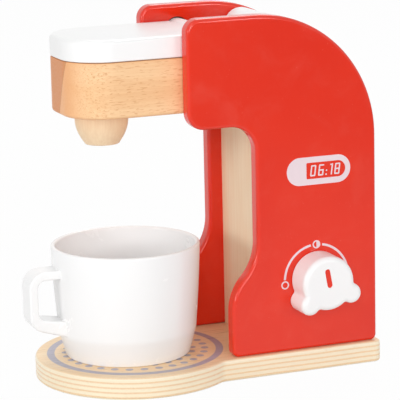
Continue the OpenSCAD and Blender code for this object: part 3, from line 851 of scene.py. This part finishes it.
def lid():
    """The lid with its round nose and the hinge barrel at its other end. Its top edge is
    rounded as far as the barrel."""
    piece = block('hinged_lid', (-LID_HALF, LID_FRONT, LID_Z), (LID_HALF, HINGE.x, LID_TOP))
    bevel_edges(upright_at(LID_FRONT), LID_NOSE_R, 28)
    round_rim(2, LID_Z, FINE_EDGE, 4)
    object_mode()
    combine(piece, [rod_x(-BARREL_HALF, BARREL_HALF, HINGE, BARREL_R, 96)], 'UNION')
    only(piece)
    edit_mode()

    def top_rim(edge):
        middle = (edge.verts[0].co + edge.verts[1].co) / 2
        if not all(near(vert.co.z, LID_TOP) for vert in edge.verts):
            return False
        flat = [face.normal.z > 0.99 for face in edge.link_faces]
        before_barrel = middle.y < (HINGE.x - BARREL_R - 0.1) * MM
        return before_barrel and any(flat) and not all(flat)

    bevel_edges(top_rim, LID_EDGE, 7)
    object_mode()
    half = BARREL_HALF + 1.5
    combine(piece, [rod_x(-half, half, HINGE, PEG_R + TURNING_PLAY, 64)], 'DIFFERENCE')
    done(piece, 'lid', 'white_lacquer', WHITE, 'lid')


head_block()
spout()
lid()

# ---- water tank ----------------------------------------------------------------------------


def tank_arcs():
    """Front, nose, top along the panels' great round, and a small lower rear corner."""
    reach, corner, nose_r = BACK_R - 0.8, 2, 10
    nose_y = TANK_FRONT + nose_r
    nose = Vector((nose_y, BACK_C.y + math.sqrt(
        (reach - nose_r) ** 2 - (nose_y - BACK_C.x) ** 2)))
    low_z = HEAD_Z + corner
    low = Vector((BACK_C.x + math.sqrt((reach - corner) ** 2 - (low_z - BACK_C.y) ** 2), low_z))
    nose_a, low_a = (math.degrees(math.atan2(*reversed(spot - BACK_C)))
                     for spot in (nose, low))
    return [(Vector((TANK_FRONT + corner, low_z)), corner, 180, 270),
            (low, corner, -90, low_a), (BACK_C, reach, low_a, nose_a),
            (nose, nose_r, nose_a, 180)]


done(slab('tank', -TANK_HALF, tank_arcs(), 2 * TANK_HALF, SOFT_EDGE, SOFT_EDGE), 'tank',
     'white_lacquer', WHITE, 'water_tank')

# ---- selector knob -------------------------------------------------------------------------

GROOVE_X = 56.1
PAINT_T = 0.25


def lobe_arcs(turn):
    """Arcs round one of the knob's lobes, from one hollow blend to the other."""
    lobe_r, out, blend = 5.5, 15.5, 2
    a, b = KNOB_R + blend, lobe_r + blend
    delta = math.degrees(math.acos((a * a + out * out - b * b) / (2 * a * out)))
    eps = math.degrees(math.acos((b * b + out * out - a * a) / (2 * b * out)))
    return [(polar(KNOB, a, turn - delta), blend, turn - delta + 180, turn + eps),
            (polar(KNOB, out, turn), lobe_r, turn + eps - 180, turn + 180 - eps),
            (polar(KNOB, a, turn + delta), blend, turn - eps, turn + delta - 180)]


def pointer_arcs():
    """A short round-ended line, a little above the knob's middle."""
    offset, half, radius = 3.2, 3.8, 1.55
    along = polar(Vector((0, 0)), 1, KNOB_TILT + 90)
    middle = KNOB + offset * along
    return [(middle + side * half * along, radius, KNOB_TILT + start, KNOB_TILT + start + 180)
            for side, start in ((1, 0), (-1, 180))]


def knob():
    """A round knob with two lobes below, seats for its washer and screw, and a painted
    groove that points."""
    right = lobe_arcs(-37 + KNOB_TILT)
    left = lobe_arcs(217 + KNOB_TILT)
    arcs = (right + [(KNOB, KNOB_R, right[2][3] + 180, left[0][2] - 180)]
            + left + [(KNOB, KNOB_R, left[2][3] + 180, right[0][2] + 180)])
    piece = slab('selector_knob', KNOB_BACK, arcs, KNOB_T, FINE_EDGE, KNOB_EDGE, 6)
    behind = KNOB_BACK - 0.9
    seat = rod_x(behind, KNOB_BACK + WASHER_SEAT, KNOB, WASHER_R + PLAY)
    hole = rod_x(behind, KNOB_BACK + KNOB_SCREW_DEPTH, KNOB, KNOB_SCREW_R + PLAY)
    groove = slab('groove', GROOVE_X, pointer_arcs(), 2)
    combine(piece, [seat, hole, groove], 'DIFFERENCE')
    done(piece, 'selector', 'white_lacquer', WHITE, 'knob')
    paint = slab('pointer_paint', GROOVE_X, pointer_arcs(), PAINT_T)
    done(paint, 'selector', 'red_lacquer', RED)


knob()

# ---- prints on the knob's panel --------------------------------------------------------------

PRINT_X = OUTER_X + 0.01
PRINT_T = 0.06
WINDOW_LIFT, DIGIT_LIFT = 0.07, 0.14

STROKE = 0.76
STROKE_R = 0.2
DIGIT_WIDTH = 3.1
DIGIT_LOW, DIGIT_MID, DIGIT_TOP = 108.27, 111.3, 114.4

SCALE = KNOB + Vector((0, -0.4))
SCALE_R, SCALE_HALF = 18.9, 0.62
SPOT_R, SPOT_HOLE_R = 2.3, 1.55


def printed(name, arcs, lift=0, slot='white_lacquer', material=PRINT):
    piece = slab(name, PRINT_X + lift, arcs, PRINT_T)
    done(piece, 'machine', slot, material)
    return piece


def cut_print(piece, *outlines):
    """Cuts openings out of a print."""
    combine(piece, [slab('opening', PRINT_X - PAST, arcs, 3) for arcs in outlines],
            'DIFFERENCE')


def pill(y0, y1, z0, z1, radii):
    """An upright rectangle with its own radius at each corner, from the lower left on."""
    return rounded([(y0, z0, radii[0]), (y1, z0, radii[1]), (y1, z1, radii[2]),
                    (y0, z1, radii[3])])


def leaning(y0, y1, z0, z1, radius=STROKE_R):
    """A rectangle that leans like the display's digits."""
    def lean(z):
        return 0.135 * (z - DIGIT_MID)
    return rounded([(y0 + lean(z0), z0, radius), (y1 + lean(z0), z0, radius),
                    (y1 + lean(z1), z1, radius), (y0 + lean(z1), z1, radius)])


def digit(name, left, bar=False, notch=0):
    """A ring of straight strokes, with a bar across its middle if asked for; a notch of some
    width opens the stroke above the bar."""
    right = left + DIGIT_WIDTH
    piece = printed(name, leaning(left, right, DIGIT_LOW, DIGIT_TOP, 0.5), DIGIT_LIFT)
    inner, outer = left + STROKE, right - STROKE
    floor, ceiling = DIGIT_LOW + STROKE, DIGIT_TOP - STROKE
    if bar:
        cut_print(piece, leaning(inner, outer, floor, DIGIT_MID - STROKE / 2),
                  leaning(inner, outer + notch, DIGIT_MID + STROKE / 2, ceiling))
    else:
        cut_print(piece, leaning(inner, outer, floor, ceiling))


def display():
    printed('display_plate', pill(75.5, 113.2, 103.6, 119.0, (7.69,) * 4))
    printed('display_window', pill(87.1, 110.1, 106.9, 115.8, (0.6, 4.4, 4.4, 0.6)),
            WINDOW_LIFT, 'red_lacquer', RED)
    digit('display_digit_a', 89.5)
    digit('display_digit_b', 94.2, bar=True, notch=2)
    for name, z in (('display_dot_low', 108.7), ('display_dot_high', 110.9)):
        printed(name, leaning(98.6, 99.4, z - 0.4, z + 0.4), DIGIT_LIFT)
    printed('display_digit_c', leaning(101.75, 102.51, DIGIT_LOW, DIGIT_TOP), DIGIT_LIFT)
    printed('display_flag', leaning(100.9, 101.72, DIGIT_TOP - 0.9, DIGIT_TOP - 0.15),
            DIGIT_LIFT)
    digit('display_digit_d', 103.8, bar=True)


def scale_arc(name, start, end):
    """A stretch of the scale round the knob."""
    printed(name, [(SCALE, SCALE_R + SCALE_HALF, start, end),
                   (SCALE, SCALE_R - SCALE_HALF, end, start)])


def scale_spot(name, angle, opening=None):
    """A round mark on the scale; the opening is the span of the hole's arc."""
    centre = polar(SCALE, SCALE_R, angle)
    spot = printed(name, [(centre, SPOT_R, 0, 360)])
    if opening:
        cut_print(spot, [(centre, SPOT_HOLE_R, *opening)])


display()
scale_arc('scale_low_to_half', 177.5, 100)
scale_arc('scale_half_to_full', 79.2, 2.4)
scale_spot('scale_empty', 186.2, (0, 360))
scale_spot('scale_half', 89.6, (90, 270))
scale_spot('scale_full', -6.6)

# ---- mug -----------------------------------------------------------------------------------


def mug_radius(height):
    """The outer wall: a short cone up to the belly, then a wall that flares less and less."""
    if height < MUG_BELLY_Z:
        return MUG_FOOT_R + (MUG_BELLY_R - MUG_FOOT_R) * height / MUG_BELLY_Z
    part = (height - MUG_BELLY_Z) / (MUG_RIM_Z + MUG_LIP_R - MUG_BELLY_Z)
    return MUG_BELLY_R + MUG_FLARE * (1 - (1 - part) ** 1.4)


def mug_profile():
    """The cup's section: up the outside, over the lip and down the inside to its floor."""
    base_r, foot_edge, floor_z, floor_r = 34.3, 0.8, 4, 2.4
    low_z = floor_z + floor_r
    wall_rings = [MUG_BELLY_Z + step for step in (-1.5, 0, 1.5)]
    wall_rings += [MUG_BELLY_Z + (MUG_RIM_Z - MUG_BELLY_Z) * i / 10 for i in range(1, 10)]
    profile = [(0, 0), (base_r - foot_edge, 0)]
    profile += [(base_r - foot_edge * (1 - sine), foot_edge * (1 - cosine))
                for sine, cosine in sines_cosines(30, 60)]
    profile += [(mug_radius(h), h) for h in [foot_edge, 4, 8] + wall_rings]
    profile += [(mug_radius(MUG_RIM_Z) - MUG_LIP_R * (1 - cosine), MUG_RIM_Z + MUG_LIP_R * sine)
                for sine, cosine in sines_cosines(*range(0, 181, 20))]
    profile += [(mug_radius(h) - MUG_WALL, h) for h in wall_rings[::-1] + [9, low_z]]
    profile += [(mug_radius(low_z) - MUG_WALL - floor_r * (1 - cosine), low_z - floor_r * sine)
                for sine, cosine in sines_cosines(30, 60, 90)]
    return profile + [(0, floor_z)]


def strap_arcs():
    """The handle's outline: a flat strap out from below the rim, down, and back to the wall,
    where it falls and grows thicker."""
    near_y, far_y, top, low = MUG.y - 33, MUG.y - 57.3, 63, 32
    strap, end_r, outer_r, inner_r = 4.8, 1.3, 9, 4.2
    fall = 6 / 19 * (near_y - far_y)
    return rounded([
        (near_y, top, end_r), (far_y, top, outer_r), (far_y, low, outer_r),
        (near_y, low - fall, end_r), (near_y, low + strap - 0.4 * fall, end_r),
        (far_y + strap, low + strap, inner_r), (far_y + strap, top - strap, inner_r),
        (near_y, top - strap, end_r)])


def mug():
    """The handle is cut off at the middle of the cup's wall before the two are joined, so
    nothing of it shows inside."""
    def raised(points):
        return [(r, z + BASE_T) for r, z in points]
    cup = lathe('mug', MUG, raised(mug_profile()), 144)
    half, edge = 7.5, 1.2
    handle = slab('strap', MUG.x - half, strap_arcs(), 2 * half, edge, edge)
    core = [(0, 2)] + [(mug_radius(h) - MUG_WALL / 2, h) for h in range(2, 59, 4)] + [(0, 58)]
    combine(handle, [lathe('core', MUG, raised(core), 144)], 'DIFFERENCE')
    combine(cup, [handle], 'UNION')
    done(cup, 'mug', 'mug_white', MUG_WHITE, 'mug_cup', 'mug_handle')


mug()

# ---- pieces that keep their solids -----------------------------------------------------------

for material, nodes in (
        (BOARD, ('front_board', 'back_board', 'tank_shelf')),
        (STEEL, ('hinge_pin', 'knob_screw', 'knob_washer', 'base_screws')),
        (DOWEL, ('head_dowels', 'board_dowels', 'shelf_dowels'))):
    for node in nodes:
        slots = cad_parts[node].data.materials
        slots.clear()
        slots.append(material)

# ---- studio --------------------------------------------------------------------------------

WORLD = 0.49
AIM = Vector((0, 0.04, 0.09))

scene = bpy.context.scene
scene.view_settings.view_transform = 'Standard'


def seen_white(tree, shader, share, mirrored=1.0):
    """Mixes plain white into what the camera, mirrors and glass see; mirrored is its strength
    in reflections."""
    rays = put(tree, 'ShaderNodeLightPath').outputs
    clear = math_node(tree, 'MAXIMUM', rays['Is Camera Ray'], rays['Is Transmission Ray'])
    seen = math_node(tree, 'MAXIMUM', clear, rays['Is Glossy Ray'])
    strength = math_node(tree, 'MAXIMUM', clear, times(tree, rays['Is Glossy Ray'], mirrored))
    white = put(tree, 'ShaderNodeEmission', {'Color': (1, 1, 1, 1), 'Strength': strength})
    mix = put(tree, 'ShaderNodeMixShader', {
        0: times(tree, seen, share), 1: shader, 2: white.outputs[0]})
    return mix.outputs[0]


def white_floor():
    """A round floor, just under the stand. What glossy pieces see of it fades with distance
    on the knob's side, so that the red panel keeps its depth."""
    nothing_selected()
    bpy.ops.mesh.primitive_circle_add(vertices=96, radius=6, fill_type='NGON',
                                      location=(0, 0, -0.0002))
    piece = named('floor')
    material = bpy.data.materials.new('floor_white')
    material.use_nodes = True
    tree = material.node_tree
    tree.nodes.clear()
    paint = put(tree, 'ShaderNodeBsdfDiffuse', {'Color': (0.76, 0.76, 0.76, 1)})
    reach = put(tree, 'ShaderNodeVectorMath', {
        0: object_spot(tree), 1: (0.93, 0.36, 0)}, operation='DOT_PRODUCT').outputs['Value']
    fading = put(tree, 'ShaderNodeMapRange', {
        'Value': reach, 'From Min': 0.15, 'From Max': 0.9, 'To Min': 1.0, 'To Max': 0.35})
    end = tree.nodes.new('ShaderNodeOutputMaterial')
    tree.links.new(seen_white(tree, paint.outputs[0], 0.97, fading.outputs[0]), end.inputs[0])
    piece.data.materials.append(material)


def soft_world():
    """Soft light from all round, which the camera sees as white."""
    world = bpy.data.worlds.new('studio')
    scene.world = world
    world.use_nodes = True
    tree = world.node_tree
    tree.nodes.clear()
    soft = put(tree, 'ShaderNodeBackground', {'Color': (1, 1, 1, 1), 'Strength': WORLD})
    end = tree.nodes.new('ShaderNodeOutputWorld')
    tree.links.new(seen_white(tree, soft.outputs[0], 1), end.inputs[0])


def lamp(name, azimuth, elevation, distance, size, share):
    """A round soft light that aims at the toy; share is what it adds to a surface that faces
    it, where 1 shows colours as written."""
    light = bpy.data.lights.new(name, 'AREA')
    light.shape = 'DISK'
    light.size = size
    light.energy = share * (math.pi * distance) ** 2
    rig = bpy.data.objects.new(name, light)
    scene.collection.objects.link(rig)
    turn, rise = math.radians(azimuth), math.radians(elevation)
    way = Vector((math.cos(rise) * math.cos(turn), math.cos(rise) * math.sin(turn),
                  math.sin(rise)))
    rig.location = AIM + distance * way
    rig.rotation_euler = way.to_track_quat('Z', 'Y').to_euler()


def camera():
    eye = bpy.data.objects.new('camera', bpy.data.cameras.new('camera'))
    scene.collection.objects.link(eye)
    right = Vector((0.36659, 0.93011, -0.02232))
    up = Vector((-0.18584, 0.09671, 0.97781))
    back = Vector((0.91163, -0.35431, 0.20831))
    turn = Matrix((right, up, back)).transposed().to_4x4()
    eye.matrix_world = Matrix.Translation(Vector((1104.56, -388.88, 344.99)) * MM) @ turn
    eye.data.sensor_width = 36
    eye.data.sensor_fit = 'HORIZONTAL'
    eye.data.lens = 197.963
    eye.data.clip_start = 0.05
    scene.camera = eye


white_floor()
soft_world()
lamp('key', -20, 17, 1.7, 0.9, 0.22)
lamp('low', 0, 9, 1.6, 0.2, 0.08)
lamp('right', 22, 10, 1.6, 0.2, 0.08)
lamp('left', -78, 12, 1.5, 0.4, 0.19)
lamp('front', -50, 50, 1.5, 0.7, 0.09)
lamp('back', 150, 50, 1.6, 0.8, 0.36)
camera()
